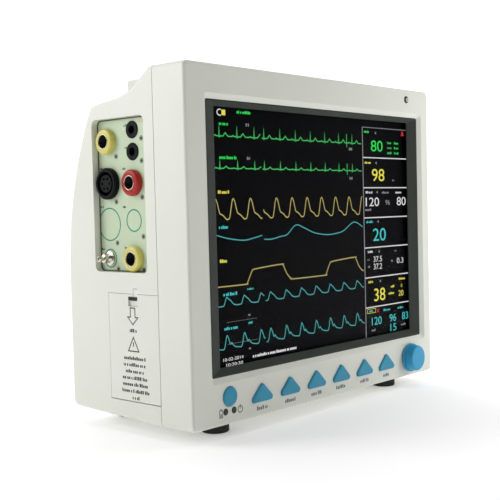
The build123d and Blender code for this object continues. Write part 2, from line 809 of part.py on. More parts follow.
hose_start = (panel_x + 14.0, cuff_yz[0], cuff_yz[1])
hose_end = (pump_x[0] - 8.0, pump_yz[0], pump_yz[1])
hose_mid = mid((hose_start[0], hose_end[0]))
with BuildPart() as air_hose:
    with BuildLine():
        bend_in = (hose_mid - 8, hose_start[1], hose_start[2])
        bend_out = (hose_mid + 8, hose_end[1], hose_end[2])
        FilletPolyline(hose_start, bend_in, bend_out, hose_end, radius=[16, 16])
    with BuildSketch(Plane(origin=hose_start, z_dir=(1, 0, 0))):
        Circle(2.9)
        Circle(1.5, mode=Mode.SUBTRACT)
    sweep()
save(air_hose.part, "air_hose")

with BuildPart() as speaker:
    cone_x = right - wall - 0.4
    with BuildSketch(across(cone_x)):
        with Locations((speaker_y, speaker_z)):
            RectangleRounded(46, 46, 5)
    extrude(amount=-2.5)
    with BuildSketch(across(cone_x - 2.5)):
        with Locations((speaker_y, speaker_z)):
            Circle(21)
    extrude(amount=-9, taper=30)
    with BuildSketch(across(cone_x - 8)):
        with Locations((speaker_y, speaker_z)):
            Circle(13)
    extrude(amount=-8)
    with BuildSketch(across(cone_x)):
        with Locations((speaker_y, speaker_z)):
            Circle(19)
    extrude(amount=-5, taper=35, mode=Mode.SUBTRACT)
save(speaker.part, "speaker")

# --- Strip recorder -----------------------------------------------------------
frame_in = 2.0
rec_x = (right - rec_depth, right - wall - 0.5)
rec_in_y = (rec_y[0] + frame_in + 0.4, rec_y[1] - frame_in - 0.4)
rec_in_z = (rec_z[0] + frame_in + 0.4, rec_z[1] - frame_in - 0.4)
roll_x = right - 34.0
roll_z = rec_z[0] + 27.0
platen_x = right - 12.0
platen_z = rec_z[1] - 14.0
with BuildPart() as recorder_frame:
    block(rec_x, (rec_y[0] + 0.4, rec_y[1] - 0.4), (rec_z[0] + 0.4, rec_z[1] - 0.4))
    cut_block((rec_x[0] + frame_in, rec_x[1] + 1), rec_in_y, rec_in_z)
    # Stub axles that carry the paper roll.
    for y, way in ((rec_in_y[0], -1), (rec_in_y[1], 1)):
        with BuildSketch(facing(y)):
            with Locations((roll_x, roll_z)):
                Circle(5.9)
        extrude(amount=way * 16)
save(recorder_frame.part, "recorder_frame")

with BuildPart() as paper_roll:
    with BuildSketch(facing(mid(rec_y) + 25)):
        with Locations((roll_x, roll_z)):
            Circle(roll_r)
            Circle(5.95, mode=Mode.SUBTRACT)
    extrude(amount=50)
save(paper_roll.part, "paper_roll")

with BuildPart() as print_head:
    head_x = (rec_x[0] + frame_in, platen_x - platen_r - 0.2)
    block((head_x[1] - 3, head_x[1]), (mid(rec_y) - 27, mid(rec_y) + 27), (platen_z - 7, platen_z + 7))
    block((head_x[0], head_x[1] - 3), (mid(rec_y) - 20, mid(rec_y) + 20), (platen_z + 1, platen_z + 3))
save(print_head.part, "print_head")

with BuildPart() as recorder_door:
    door_flat_y = (rec_y[0] + gap, rec_y[1] - gap)
    block((right - rec_door_t, right), door_flat_y, (rec_axis_z, rec_z[1] - 1.0))
    fillet(recorder_door.faces().sort_by(Axis.X)[-1].edges().sort_by(Axis.Z)[1:], 0.8)
    with BuildSketch(facing(door_flat_y[0])):
        with Locations((rec_axis_x, rec_axis_z)):
            Circle(rec_door_t / 2)
    extrude(amount=-span(door_flat_y))
    with BuildSketch(facing(rec_y[0] - 2.6)):
        with Locations((rec_axis_x, rec_axis_z)):
            Circle(0.9)
    extrude(amount=-(span(rec_y) + 5.2))
    # Cheeks that carry the platen roller.
    for y in (mid(rec_y) - 30.5, mid(rec_y) + 28):
        cheek_x = (platen_x - 3.5, right - rec_door_t)
        block(cheek_x, (y, y + 2.5), (platen_z - 5, platen_z + 5))
    with BuildSketch(facing(mid(rec_y) - 40)):
        with Locations((platen_x, platen_z)):
            Circle(1.5 + snug)
    extrude(amount=-80, mode=Mode.SUBTRACT)
    # Finger dip in the upper edge.
    cut_block((right - 1.2, right + 1), (mid(rec_y) - 12, mid(rec_y) + 12), (rec_z[1] - 10, rec_z[1]))
save(recorder_door.part, "recorder_door")

with BuildPart() as platen_roller:
    with BuildSketch(facing(mid(rec_y) + 27)):
        with Locations((platen_x, platen_z)):
            Circle(platen_r)
    extrude(amount=54)
    with BuildSketch(facing(mid(rec_y) + 30.5)):
        with Locations((platen_x, platen_z)):
            Circle(1.5)
    extrude(amount=61)
save(platen_roller.part, "platen_roller")

with BuildPart() as recorder_button:
    with BuildSketch(across(right - wall - 1.4)):
        with Locations((rec_button_y, rec_button_z)):
            SlotOverall(18, 8)
    extrude(amount=wall + 1.4 + 1.6)
    fillet(recorder_button.faces().sort_by(Axis.X)[-1].edges(), 0.8)
    with BuildSketch(across(right - wall - 1.4)):
        with Locations((rec_button_y, rec_button_z)):
            SlotOverall(21, 11)
    extrude(amount=1.0)
save(recorder_button.part, "recorder_button")

# --- Rear panel ---------------------------------------------------------------
with BuildPart() as mains_inlet:
    # Flange with the socket above and the fuse drawer's chute below.
    flange = (back, back + 2.5)
    with BuildSketch(facing(back)):
        with Locations((inlet_x, inlet_z)):
            RectangleRounded(34, 44, 2)
    extrude(amount=-2.5)
    chamfer(mains_inlet.faces().sort_by(Axis.Y)[-1].edges(), 0.6)
    block((inlet_x - 13.7, inlet_x + 13.7), (back - 24, back), (inlet_z - 18.7, inlet_z + 18.7))
    with BuildSketch(facing(back + 2.5)):
        with Locations((inlet_x, inlet_z + 7)):
            RectangleRounded(24.5, 16.8, 3)
    extrude(amount=18, mode=Mode.SUBTRACT)
    drawer_x = (inlet_x - 11, inlet_x + 11)
    drawer_z = (inlet_z - 17, inlet_z - 4.5)
    cut_block((drawer_x[0] - 0.2, drawer_x[1] + 0.2), (back - 20, back + 3), (drawer_z[0] - 0.2, drawer_z[1] + 0.2))
    # Three blades, the middle one longer.
    for x, length in ((inlet_x - 7, 13.0), (inlet_x, 14.0), (inlet_x + 7, 13.0)):
        raise_z = 2.0 if x == inlet_x else -1.5
        block((x - 1, x + 1), (back - 15.5, back - 15.5 + length), (inlet_z + 5 + raise_z, inlet_z + 9 + raise_z))
save(mains_inlet.part, "mains_inlet")

with BuildPart() as fuse_drawer:
    block(drawer_x, (back - 18.5, back + 3.6), drawer_z)
    fillet(fuse_drawer.faces().sort_by(Axis.Y)[-1].edges(), 0.6)
    # Two fuse troughs open on top and a lip for a fingernail.
    for x in (inlet_x - 5, inlet_x + 5):
        cut_block((x - 3, x + 3), (back - 17.5, back + 1.2), (drawer_z[0] + 5.5, drawer_z[1] + 1))
    cut_block((inlet_x - 5, inlet_x + 5), (back + 2.8, back + 5), (drawer_z[1] - 3, drawer_z[1] + 1))
save(fuse_drawer.part, "fuse_drawer")

fuse_z = drawer_z[0] + 5.5 + 2.6
fuse_xs = (inlet_x - 5, inlet_x + 5)
with BuildPart() as fuses:
    # Glass tubes with a thicker cap at each end.
    with BuildSketch(facing(back + 0.8)):
        with Locations(*[(x, fuse_z) for x in fuse_xs]):
            Circle(2.2)
    extrude(amount=18)
    for y in (back + 0.8, back - 13.2):
        with BuildSketch(facing(y)):
            with Locations(*[(x, fuse_z) for x in fuse_xs]):
                Circle(2.6)
        extrude(amount=4)
save(fuses.part, "fuses")

with BuildPart() as earth_stud:
    with BuildSketch(facing(back)):
        with Locations((stud_x, stud_z)):
            RegularPolygon(6, 6)
    extrude(amount=-2.5)
    with BuildSketch(facing(back - wall - 8)):
        with Locations((stud_x, stud_z)):
            Circle(stud_r)
    extrude(amount=-(wall + 8 + 2.5 + stud_len))
    chamfer(earth_stud.faces().sort_by(Axis.Y)[-1].edges(), 0.8)
save(earth_stud.part, "earth_stud")

with BuildPart() as network_port:
    with BuildSketch(facing(back + 0.6)):
        with Locations((network_x, network_z)):
            Rectangle(16, 14)
    extrude(amount=18)
    with BuildSketch(facing(back + 0.6)):
        with Locations((network_x, network_z)):
            Rectangle(12, 7)
        with Locations((network_x, network_z + 4.5)):
            Rectangle(6, 3)
    extrude(amount=13, mode=Mode.SUBTRACT)
save(network_port.part, "network_port")

# --- Feet, fasteners and inserts ----------------------------------------------
with BuildPart() as feet:
    with BuildSketch(level(0)):
        with Locations(*foot_xy):
            Circle(foot_r)
    extrude(amount=foot_h)
    fillet(feet.edges().filter_by(GeomType.CIRCLE).group_by(Axis.Z)[0], 1.2)
    with BuildSketch(level(0)):
        with Locations(*foot_xy):
            Circle(3.5)
    extrude(amount=3, mode=Mode.SUBTRACT)
save(feet.part, "feet")

with BuildPart() as case_screws:
    with BuildSketch(facing(seam + 12)):
        with Locations(*tower_xz):
            Circle(3.0)
    extrude(amount=-2.6)
    with BuildSketch(facing(seam + 12)):
        with Locations(*tower_xz):
            Circle(1.65)
    extrude(amount=24)
    with BuildSketch(facing(seam + 14.6)):
        with Locations(*tower_xz):
            RegularPolygon(1.6, 6)
    extrude(amount=1.5, mode=Mode.SUBTRACT)
save(case_screws.part, "case_screws")

with BuildPart() as threaded_inserts:
    with BuildSketch(level(base)):
        with Locations(*insert_xy):
            Circle(2.8)
            Circle(insert_r, mode=Mode.SUBTRACT)
    extrude(amount=insert_len)
save(threaded_inserts.part, "threaded_inserts")

# --- Carry handle -------------------------------------------------------------
handle_x = (mid_x - grip_w / 2, mid_x + grip_w / 2)
handle_y = (pivot_y, pivot_y + handle_reach)
bar_y = (handle_y[1] - 15, handle_y[1])
handle_z = (pivot_z - arm_t / 2, pivot_z + arm_t / 2)
with BuildPart() as carry_handle:
    for x in (handle_x[0], handle_x[1] - arm_w):
        block((x, x + arm_w), (pivot_y, handle_y[1] - 4), handle_z)
        with BuildSketch(across(x)):
            with Locations((pivot_y, pivot_z)):
                Circle(arm_t / 2)
        extrude(amount=arm_w)
    block(handle_x, bar_y, handle_z)
    fillet(carry_handle.edges().filter_by(Axis.Z).group_by(Axis.Y)[-1], 9)
    fillet(carry_handle.faces().sort_by(Axis.Z)[-1].edges(), 1.2)
    for x in (handle_x[0], handle_x[1] - arm_w):
        with BuildSketch(across(x)):
            with Locations((pivot_y, pivot_z)):
                Circle(pin_r + snug)
        extrude(amount=arm_w, mode=Mode.SUBTRACT)
save(carry_handle.part, "carry_handle")

with BuildPart() as handle_grip:
    # Soft sleeve around the middle of the bar.
    with BuildSketch(across(mid_x - 60)):
        with Locations((mid(bar_y), pivot_z)):
            RectangleRounded(span(bar_y) + 2.4, arm_t + 2.4, 3)
            Rectangle(span(bar_y), arm_t, mode=Mode.SUBTRACT)
    extrude(amount=120)
save(handle_grip.part, "handle_grip")

with BuildPart() as handle_pivots:
    # Shoulder screws: head outside the arm, shank in the case's ear.
    for x, way in ((handle_x[0], 1), (handle_x[1], -1)):
        with BuildSketch(across(x - way * 0.3)):
            with Locations((pivot_y, pivot_z)):
                Circle(3.6)
        extrude(amount=-way * 1.6)
        with BuildSketch(across(x - way * 0.3)):
            with Locations((pivot_y, pivot_z)):
                Circle(pin_r)
        extrude(amount=way * 18)
save(handle_pivots.part, "handle_pivots")
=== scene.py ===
import json
import math
import random

import bmesh
import bpy
from mathutils import Matrix, Vector


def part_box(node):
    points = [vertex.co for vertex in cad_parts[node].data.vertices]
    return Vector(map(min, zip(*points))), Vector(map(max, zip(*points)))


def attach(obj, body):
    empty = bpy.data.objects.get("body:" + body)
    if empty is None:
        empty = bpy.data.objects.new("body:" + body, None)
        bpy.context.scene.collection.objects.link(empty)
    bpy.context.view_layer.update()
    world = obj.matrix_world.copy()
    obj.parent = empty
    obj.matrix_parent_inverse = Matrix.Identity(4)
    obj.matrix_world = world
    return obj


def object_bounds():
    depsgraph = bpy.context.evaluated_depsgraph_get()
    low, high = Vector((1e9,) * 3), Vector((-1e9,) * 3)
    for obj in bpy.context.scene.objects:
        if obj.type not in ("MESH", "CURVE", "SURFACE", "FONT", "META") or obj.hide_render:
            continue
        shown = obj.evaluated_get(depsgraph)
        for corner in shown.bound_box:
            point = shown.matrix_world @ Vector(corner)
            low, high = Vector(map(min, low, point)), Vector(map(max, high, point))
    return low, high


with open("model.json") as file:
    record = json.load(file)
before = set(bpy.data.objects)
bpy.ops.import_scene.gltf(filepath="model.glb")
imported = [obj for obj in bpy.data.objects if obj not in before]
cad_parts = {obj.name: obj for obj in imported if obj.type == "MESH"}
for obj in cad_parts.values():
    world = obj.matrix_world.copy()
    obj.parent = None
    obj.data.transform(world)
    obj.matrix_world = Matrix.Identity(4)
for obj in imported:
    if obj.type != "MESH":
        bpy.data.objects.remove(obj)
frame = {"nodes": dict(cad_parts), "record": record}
cad_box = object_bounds()
nodes = frame["nodes"]

# All lengths below are millimetres until they reach a mesh. Places on the monitor are measured
# from the bezel's lower left front corner: x to the right, d for depth, z up.
MM = 0.001
bezel_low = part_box("front_bezel")[0]
LEFT, FRONT, BASE = bezel_low.x, bezel_low.y, bezel_low.z
rear_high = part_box("rear_case")[1]
REAR_D = (rear_high.y - FRONT) / MM


def at(x, d, z):
    """Row-frame point, in metres, of a place on the monitor."""
    return Vector((LEFT + x * MM, FRONT + d * MM, BASE + z * MM))


def place_x(x):
    return (x - LEFT) / MM


def place_d(y):
    return (y - FRONT) / MM


def place_z(z):
    return (z - BASE) / MM


def middle(node):
    """Centre of a CAD node's box, as a place on the monitor."""
    low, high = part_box(node)
    centre = (low + high) / 2
    return place_x(centre.x), place_d(centre.y), place_z(centre.z)


# --- Camera and lights ------------------------------------------------------------
CAMERA_PLACE = (-454.6, -468.3, 157.2)
CAMERA_YAW = -47.87      # turn from looking along +Y, degrees
CAMERA_PITCH = -2.61
CAMERA_ROLL = -1.43
CAMERA_LENS = 68.0


def add_camera():
    data = bpy.data.cameras.new("camera")
    data.lens = CAMERA_LENS
    data.sensor_width = 36.0
    camera = bpy.data.objects.new("camera", data)
    bpy.context.scene.collection.objects.link(camera)
    turn = Matrix.Rotation(math.radians(CAMERA_YAW), 4, "Z")
    turn = turn @ Matrix.Rotation(math.radians(90 + CAMERA_PITCH), 4, "X")
    turn = turn @ Matrix.Rotation(math.radians(CAMERA_ROLL), 4, "Z")
    camera.matrix_world = Matrix.Translation(at(*CAMERA_PLACE)) @ turn
    bpy.context.scene.camera = camera


def add_area_light(name, place, target, size, power, beam=180, glossy=True):
    """Softbox; beam is its spread in degrees, and glossy says if it shows in reflections."""
    data = bpy.data.lights.new(name, "AREA")
    data.shape = "RECTANGLE"
    data.size, data.size_y = size
    data.energy = power
    data.spread = math.radians(beam)
    light = bpy.data.objects.new(name, data)
    bpy.context.scene.collection.objects.link(light)
    light.visible_camera = False
    light.visible_glossy = glossy
    aim = Vector(target) - Vector(place)
    light.matrix_world = Matrix.Translation(place) @ aim.to_track_quat("-Z", "Y").to_matrix().to_4x4()


def add_world(strength):
    world = bpy.data.worlds.new("studio")
    bpy.context.scene.world = world
    world.use_nodes = True
    background = world.node_tree.nodes["Background"]
    background.inputs["Color"].default_value = (1, 1, 1, 1)
    background.inputs["Strength"].default_value = strength


# --- Materials ------------------------------------------------------------------
def new_material(name):
    material = bpy.data.materials.new(name)
    material.use_nodes = True
    tree = material.node_tree
    shader = tree.nodes["Principled BSDF"]
    return material, tree, shader


def noise(tree, scale, detail=3.0, roughness=0.5, stretch=(1, 1, 1)):
    """Noise in the object's own space. scale is features per metre."""
    coords = tree.nodes.new("ShaderNodeTexCoord")
    mapping = tree.nodes.new("ShaderNodeMapping")
    mapping.inputs["Scale"].default_value = stretch
    tree.links.new(coords.outputs["Object"], mapping.inputs["Vector"])
    texture = tree.nodes.new("ShaderNodeTexNoise")
    texture.inputs["Scale"].default_value = scale
    texture.inputs["Detail"].default_value = detail
    texture.inputs["Roughness"].default_value = roughness
    tree.links.new(mapping.outputs["Vector"], texture.inputs["Vector"])
    return texture.outputs["Fac"]


def spread(tree, value, low, high, centre=0.5, reach=0.25):
    """A value between centre - reach and centre + reach, mapped to low..high."""
    node = tree.nodes.new("ShaderNodeMapRange")
    node.inputs["From Min"].default_value = centre - reach
    node.inputs["From Max"].default_value = centre + reach
    node.inputs["To Min"].default_value = low
    node.inputs["To Max"].default_value = high
    tree.links.new(value, node.inputs["Value"])
    return node.outputs["Result"]


def two_tone(tree, value, dark, light, centre=0.5, reach=0.25):
    ramp = tree.nodes.new("ShaderNodeValToRGB")
    ramp.color_ramp.elements[0].position = centre - reach
    ramp.color_ramp.elements[1].position = centre + reach
    ramp.color_ramp.elements[0].color = (*dark, 1)
    ramp.color_ramp.elements[1].color = (*light, 1)
    tree.links.new(value, ramp.inputs["Fac"])
    return ramp.outputs["Color"]


def shade(colour, factor):
    return tuple(min(1.0, c * factor) for c in colour)


def moulded(name, colour, rough=0.45, vary=0.04, patch=14.0, grain=2600.0, depth=0.00002, coat=0.0,
            shine=0.5):
    """Moulded plastic or rubber: cloudy shade, uneven gloss and a fine eroded grain."""
    material, tree, shader = new_material(name)
    cloud = noise(tree, patch, 4.0)
    shader_colour = two_tone(tree, cloud, shade(colour, 1 - vary), shade(colour, 1 + vary))
    tree.links.new(shader_colour, shader.inputs["Base Color"])
    smear = noise(tree, patch * 5, 5.0, 0.6)
    tree.links.new(spread(tree, smear, rough - 0.06, rough + 0.08), shader.inputs["Roughness"])
    bump = tree.nodes.new("ShaderNodeBump")
    bump.inputs["Strength"].default_value = 0.6
    bump.inputs["Distance"].default_value = depth
    tree.links.new(noise(tree, grain, 2.0), bump.inputs["Height"])
    tree.links.new(bump.outputs["Normal"], shader.inputs["Normal"])
    shader.inputs["Coat Weight"].default_value = coat
    shader.inputs["Coat Roughness"].default_value = 0.12
    shader.inputs["Specular IOR Level"].default_value = shine
    return material


def metal(name, colour, rough=0.3, stretch=(1, 1, 1), vary=0.12):
    """Plated or brushed metal with streaks along the axis that stretch makes long."""
    material, tree, shader = new_material(name)
    streak = noise(tree, 900.0, 4.0, 0.6, stretch)
    tint = two_tone(tree, streak, shade(colour, 1 - vary), shade(colour, 1 + vary))
    tree.links.new(tint, shader.inputs["Base Color"])
    shader.inputs["Metallic"].default_value = 1.0
    tree.links.new(spread(tree, streak, rough - 0.08, rough + 0.1), shader.inputs["Roughness"])
    bump = tree.nodes.new("ShaderNodeBump")
    bump.inputs["Strength"].default_value = 0.3
    bump.inputs["Distance"].default_value = 0.00001
    tree.links.new(streak, bump.inputs["Height"])
    tree.links.new(bump.outputs["Normal"], shader.inputs["Normal"])
    return material


def glass(name, colour, alpha, rough=0.03, shine=0.5):
    """Thin clear pane: mostly see-through, with a reflection and faint smears."""
    material, tree, shader = new_material(name)
    smear = noise(tree, 30.0, 5.0, 0.6)
    tint = two_tone(tree, smear, shade(colour, 0.9), shade(colour, 1.1))
    tree.links.new(tint, shader.inputs["Base Color"])
    tree.links.new(spread(tree, smear, rough, rough + 0.03), shader.inputs["Roughness"])
    shader.inputs["Alpha"].default_value = alpha
    shader.inputs["Specular IOR Level"].default_value = shine
    return material


def ink(name, colour, rough=0.55, vary=0.12):
    """Screen-printed ink, a little patchy."""
    material, tree, shader = new_material(name)
    patch = noise(tree, 700.0, 3.0)
    tint = two_tone(tree, patch, shade(colour, 1 - vary), shade(colour, 1 + vary))
    tree.links.new(tint, shader.inputs["Base Color"])
    tree.links.new(spread(tree, patch, rough - 0.08, rough + 0.08), shader.inputs["Roughness"])
    return material


def glow(name, colour, strength):
    """Lit picture elements with the faint dot grid of a panel."""
    material, tree, shader = new_material(name)
    grid = noise(tree, 3000.0, 1.0)
    tint = two_tone(tree, grid, shade(colour, 0.85), shade(colour, 1.0))
    shader.inputs["Base Color"].default_value = (0, 0, 0, 1)
    shader.inputs["Roughness"].default_value = 0.5
    tree.links.new(tint, shader.inputs["Emission Color"])
    shader.inputs["Emission Strength"].default_value = strength
    return material


CASING = (0.755, 0.765, 0.690)
materials = {
    "casing": moulded("casing", CASING, rough=0.42, vary=0.02),
    "handle": moulded("handle", (0.70, 0.705, 0.66), rough=0.45, vary=0.02),
    "grip_rubber": moulded("grip_rubber", (0.36, 0.37, 0.37), rough=0.7, depth=0.00004),
    "frame_dark": moulded("frame_dark", (0.036, 0.042, 0.036), rough=0.55, vary=0.08, shine=0.25),
    "screen_glass": glass("screen_glass", (0.004, 0.004, 0.005), 0.05, 0.08, shine=0.04),
    "screen_black": moulded("screen_black", (0.002, 0.002, 0.003), rough=0.5, vary=0.1, shine=0.05),
    "zinc_steel": metal("zinc_steel", (0.62, 0.62, 0.60), 0.36, (1, 1, 8)),
    "screw_steel": metal("screw_steel", (0.50, 0.50, 0.49), 0.3),
    "key_blue": moulded("key_blue", (0.042, 0.300, 0.460), rough=0.4, vary=0.06, patch=60.0,
                        shine=0.25),
    "knob_blue": moulded("knob_blue", (0.035, 0.340, 0.600), rough=0.38, vary=0.06, patch=60.0,
                         shine=0.3),
    "white_plastic": moulded("white_plastic", (0.8, 0.8, 0.78), rough=0.4),
    "grey_silicone": moulded("grey_silicone", (0.42, 0.43, 0.44), rough=0.6),
    "board_green": moulded("board_green", (0.02, 0.13, 0.05), rough=0.3, vary=0.2, patch=120.0),
    "black_plastic": moulded("black_plastic", (0.006, 0.007, 0.007), rough=0.45, vary=0.15,
                             shine=0.08),
    "dark_lens": moulded("dark_lens", (0.020, 0.017, 0.012), rough=0.14, vary=0.2, depth=0.000002),
    "panel_green": moulded("panel_green", (0.53, 0.635, 0.445), rough=0.4, vary=0.03),
    "yellow_plastic": moulded("yellow_plastic", (0.64, 0.58, 0.13), rough=0.3, vary=0.05, coat=0.2),
    "red_plastic": moulded("red_plastic", (0.36, 0.014, 0.008), rough=0.3, vary=0.08, coat=0.05,
                           shine=0.3),
    "contact_gold": metal("contact_gold", (0.85, 0.60, 0.25), 0.25),
    "nozzle_metal": metal("nozzle_metal", (0.62, 0.57, 0.50), 0.22),
    "grey_plastic": moulded("grey_plastic", (0.12, 0.125, 0.13), rough=0.5),
    "battery_wrap": moulded("battery_wrap", (0.02, 0.06, 0.20), rough=0.25, coat=0.5),
    "paper": moulded("paper", (0.86, 0.86, 0.83), rough=0.85, vary=0.02),
    "black_rubber": moulded("black_rubber", (0.014, 0.014, 0.014), rough=0.75, depth=0.00005),
    # dark olive, used only as painted shade along the connector panel's recess edge
    "olive_recess_shade": moulded("olive_recess_shade", (0.10, 0.105, 0.055), rough=0.7),
    "fuse_glass": glass("fuse_glass", (0.75, 0.82, 0.8), 0.4, 0.05),
}
for part in frame["record"]["subparts"]:
    obj = nodes[part["node"]]
    obj.data.materials.clear()
    obj.data.materials.append(materials[part["material_slot"]])


# --- Thin printed and lit marks ---------------------------------------------------
def circle(u, v, r, sides):
    turn = 2 * math.pi / sides
    return [(u + r * math.cos(i * turn), v + r * math.sin(i * turn)) for i in range(sides)]


def rounded_outline(u0, u1, v0, v1, corner, steps=6):
    """Rectangle with rounded corners, going round from the upper right one."""
    corners = ((u1 - corner, v1 - corner, 0), (u0 + corner, v1 - corner, 90),
               (u0 + corner, v0 + corner, 180), (u1 - corner, v0 + corner, 270))
    points = []
    for u, v, start in corners:
        for step in range(steps + 1):
            angle = math.radians(start + step * 90 / steps)
            points.append((u + corner * math.cos(angle), v + corner * math.sin(angle)))
    return points


class Marks:
    """Closed, very thin prisms on a plane of the monitor, gathered into one piece.

    to_place turns (u, v, lift) into a row-frame point; lift is how far the mark
    stands off its surface.
    """

    def __init__(self, name, to_place, thickness=0.05):
        self.name = name
        self.to_place = to_place
        self.thickness = thickness
        self.bm = bmesh.new()

    def _ring(self, points, lift):
        return [self.bm.verts.new(self.to_place(u, v, lift)) for u, v in points]

    def polygon(self, points):
        top = self._ring(points, self.thickness)
        low = self._ring(points, 0.0)
        self.bm.faces.new(top)
        self.bm.faces.new(low[::-1])
        count = len(points)
        for i in range(count):
            j = (i + 1) % count
            self.bm.faces.new((top[i], low[i], low[j], top[j]))

    def rectangle(self, u0, v0, u1, v1):
        self.polygon([(u0, v0), (u1, v0), (u1, v1), (u0, v1)])

    def disc(self, u, v, r, sides=24):
        self.polygon(circle(u, v, r, sides))

    def ribbon(self, points, width, closed=False):
        """A line of even width through the points, mitred at each of them."""
        count = len(points)
        rows = []
        for i, (u, v) in enumerate(points):
            before = points[i - 1] if closed or i else points[i]
            after = points[(i + 1) % count] if closed or i < count - 1 else points[i]
            a = Vector((u - before[0], v - before[1]))
            b = Vector((after[0] - u, after[1] - v))
            a = a.normalized() if a.length else b.normalized()
            b = b.normalized() if b.length else a
            normal = Vector((-(a.y + b.y), a.x + b.x))
            normal = normal.normalized() if normal.length > 1e-6 else Vector((-a.y, a.x))
            reach = 0.5 * width / max(0.45, normal.dot(Vector((-a.y, a.x))))
            side = normal * reach
            corners = [(u + side.x, v + side.y), (u - side.x, v - side.y)]
            rows.append(self._ring(corners, self.thickness) + self._ring(corners, 0.0))
        last = count if closed else count - 1
        for i in range(last):
            a, b = rows[i], rows[(i + 1) % count]
            self.bm.faces.new((a[0], a[1], b[1], b[0]))
            self.bm.faces.new((a[2], b[2], b[3], a[3]))
            self.bm.faces.new((a[0], b[0], b[2], a[2]))
            self.bm.faces.new((a[1], a[3], b[3], b[1]))
        if not closed:
            a, b = rows[0], rows[-1]
            self.bm.faces.new((a[0], a[2], a[3], a[1]))
            self.bm.faces.new((b[0], b[1], b[3], b[2]))

    def ring(self, u, v, r, width, sides=48):
        self.ribbon(circle(u, v, r, sides), width, closed=True)

    def greek(self, u0, u1, v, height, seed):
        """A row of small blocks where a word would be: it reads as nothing."""
        dice = random.Random(seed)
        u = u0
        while u < u1 - 0.2 * height:
            wide = min(height * dice.uniform(0.40, 0.70), u1 - u)
            tall = height * dice.choice((0.72, 0.72, 1.0))
            self.rectangle(u, v - height / 2, u + wide, v - height / 2 + tall)
            u += wide + height * dice.choice((0.16, 0.16, 0.16, 0.5))

    def digits(self, text, u0, u1, v0, v1):
        """Numerals stretched to fill the box u0..u1 by v0..v1."""
        curve = bpy.data.curves.new("digits", "FONT")
        curve.body = text
        holder = bpy.data.objects.new("digits", curve)
        bpy.context.scene.collection.objects.link(holder)
        bpy.context.view_layer.update()
        ready = holder.evaluated_get(bpy.context.evaluated_depsgraph_get())
        mesh = bpy.data.meshes.new_from_object(ready)
        bpy.data.objects.remove(holder)
        bpy.data.curves.remove(curve)
        flat = bmesh.new()
        flat.from_mesh(mesh)
        bpy.data.meshes.remove(mesh)
        bmesh.ops.remove_doubles(flat, verts=flat.verts, dist=1e-5)
        low_u = min(w.co.x for w in flat.verts)
        high_u = max(w.co.x for w in flat.verts)
        low_v = min(w.co.y for w in flat.verts)
        high_v = max(w.co.y for w in flat.verts)
        new = {}
        for w in flat.verts:
            u = u0 + (w.co.x - low_u) / (high_u - low_u) * (u1 - u0)
            v = v0 + (w.co.y - low_v) / (high_v - low_v) * (v1 - v0)
            new[w] = (
                self.bm.verts.new(self.to_place(u, v, self.thickness)),
                self.bm.verts.new(self.to_place(u, v, 0.0)),
            )
        for face in flat.faces:
            self.bm.faces.new([new[w][0] for w in face.verts])
            self.bm.faces.new([new[w][1] for w in reversed(face.verts)])
        for edge in flat.edges:
            if len(edge.link_faces) == 1:
                a, b = edge.verts
                self.bm.faces.new((new[a][0], new[a][1], new[b][1], new[b][0]))
        flat.free()

    def finish(self, material, body, slot):
        bmesh.ops.recalc_face_normals(self.bm, faces=self.bm.faces)
        mesh = bpy.data.meshes.new(self.name)
        self.bm.to_mesh(mesh)
        self.bm.free()
        mesh.materials.append(material)
        piece = bpy.data.objects.new(self.name, mesh)
        bpy.context.scene.collection.objects.link(piece)
        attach(piece, body)
        return piece


def on_front(depth):
    """Plane facing the front at a depth: u is x, v is z."""
    return lambda u, v, lift: at(u, depth - lift, v)


def on_left(x):
    """Plane facing left at x: u is the depth d, v is z."""
    return lambda u, v, lift: at(x - lift, u, v)


def on_rear(depth):
    """Plane facing the rear: u is x, v is z."""
    return lambda u, v, lift: at(u, depth + lift, v)


def smooth(points, steps=8):
    """Catmull-Rom curve through the points."""
    out = []
    for i in range(len(points) - 1):
        p0 = points[max(i - 1, 0)]
        p1, p2 = points[i], points[i + 1]
        p3 = points[min(i + 2, len(points) - 1)]
        for s in range(steps):
            t = s / steps
            out.append(tuple(
                0.5 * (2 * b + (c - a) * t + (2 * a - 5 * b + 4 * c - d) * t * t
                       + (3 * b - a - 3 * c + d) * t ** 3)
                for a, b, c, d in zip(p0, p1, p2, p3)
            ))
    out.append(points[-1])
    return out


# --- Picture on the screen --------------------------------------------------------
lcd_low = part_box("lcd_panel")[0]
PICTURE_D = place_d(lcd_low.y) - 0.05
SCREEN_LEFT, SCREEN_RIGHT = 37.5, 293.4    # ends of the picture
SWEEP = 90.3                               # gap where the traces are redrawn
BEAT = 19.08                               # heart beat length on the screen
COLUMN_X = 222.6
ROW_TOP = 224.0
ROW_PITCH = 26.3
LINE = 0.75                                # width of a trace

colours = {
    "green": ((0.02, 0.80, 0.10), 1.0),
    "trace_green": ((0.05, 0.62, 0.13), 1.0),
    "yellow": ((0.90, 0.83, 0.08), 1.0),
    "trace_yellow": ((0.62, 0.52, 0.15), 1.0),
    "teal": ((0.05, 0.62, 0.62), 1.0),
    "trace_teal": ((0.06, 0.45, 0.46), 1.0),
    "white": ((0.85, 0.85, 0.85), 1.0),
    "grey": ((0.40, 0.40, 0.42), 0.7),
    "red": ((0.65, 0.03, 0.04), 1.0),
}
screen = {name: Marks(f"screen_{name}", on_front(PICTURE_D), 0.04) for name in colours}


def wave(marks, first, start, end, shape, base_z):
    """One sweep of a trace. shape is (offset from the beat, height) pairs of one beat."""
    points = []
    count = int((end - first) / BEAT) + 2
    for i in range(-1, count):
        for offset, height in shape:
            x = first + i * BEAT + offset
            if start <= x <= end:
                points.append((x, base_z + height))
    points.insert(0, (start, points[0][1]))
    points.append((end, points[-1][1]))
    marks.ribbon(points, LINE)


